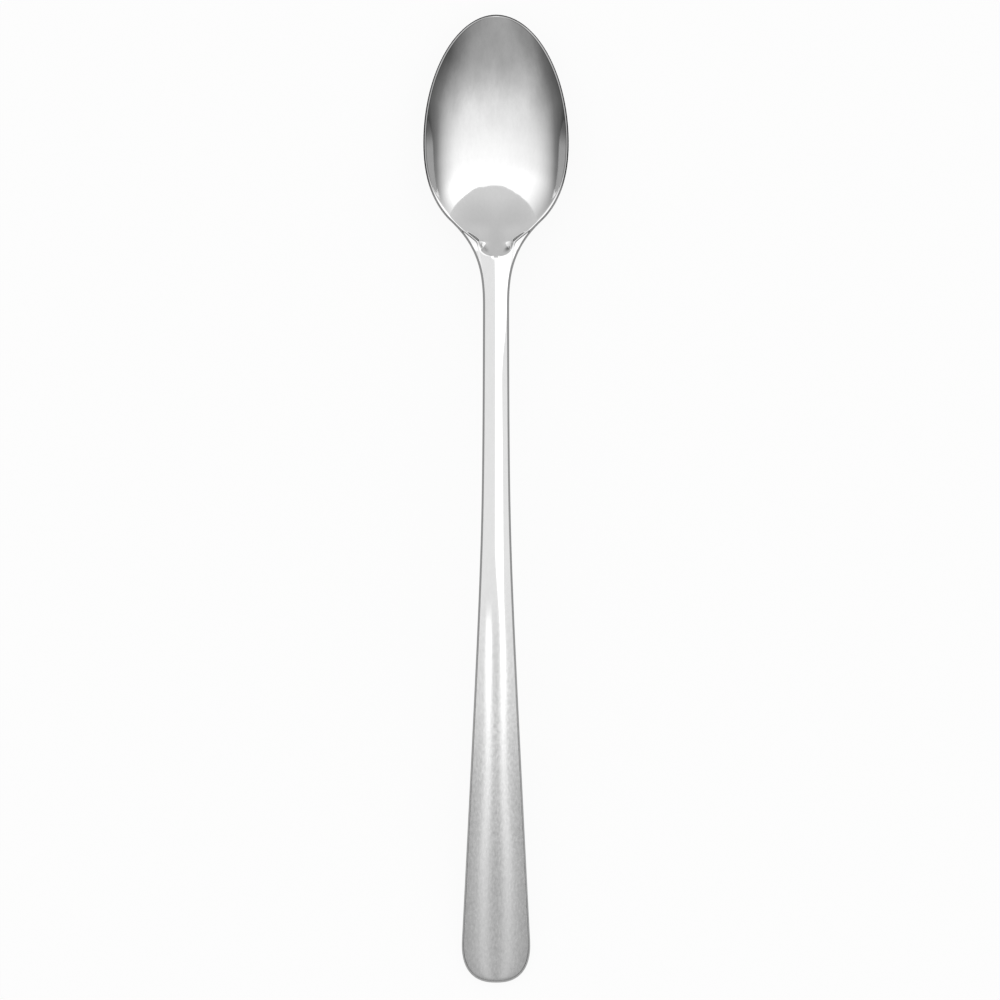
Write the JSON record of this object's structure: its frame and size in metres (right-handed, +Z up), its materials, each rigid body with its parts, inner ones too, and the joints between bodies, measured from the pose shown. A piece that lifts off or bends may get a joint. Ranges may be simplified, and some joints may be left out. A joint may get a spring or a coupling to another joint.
{
  "type": "iced tea spoon",
  "caption": "Long steel spoon with a small egg-shaped bowl, a slim stem and a widening round-ended handle, for stirring tall glasses.",
  "frame": {"origin": "on the table under the middle of the spoon, which lies face up on its bowl and its handle end", "axes": "+Y from the handle end to the bowl tip, +Z up out of the hollow of the bowl, +X to the right seen from above with the bowl tip up"},
  "size_m": [0.0286, 0.19, 0.0171],
  "materials": {
    "stainless_steel": "mirror-polished bowl, neck and stem, fading along the handle to a fine satin"
  },
  "bodies": {
    "root": {"spoon": "stainless_steel"}
  },
  "joints": []
}
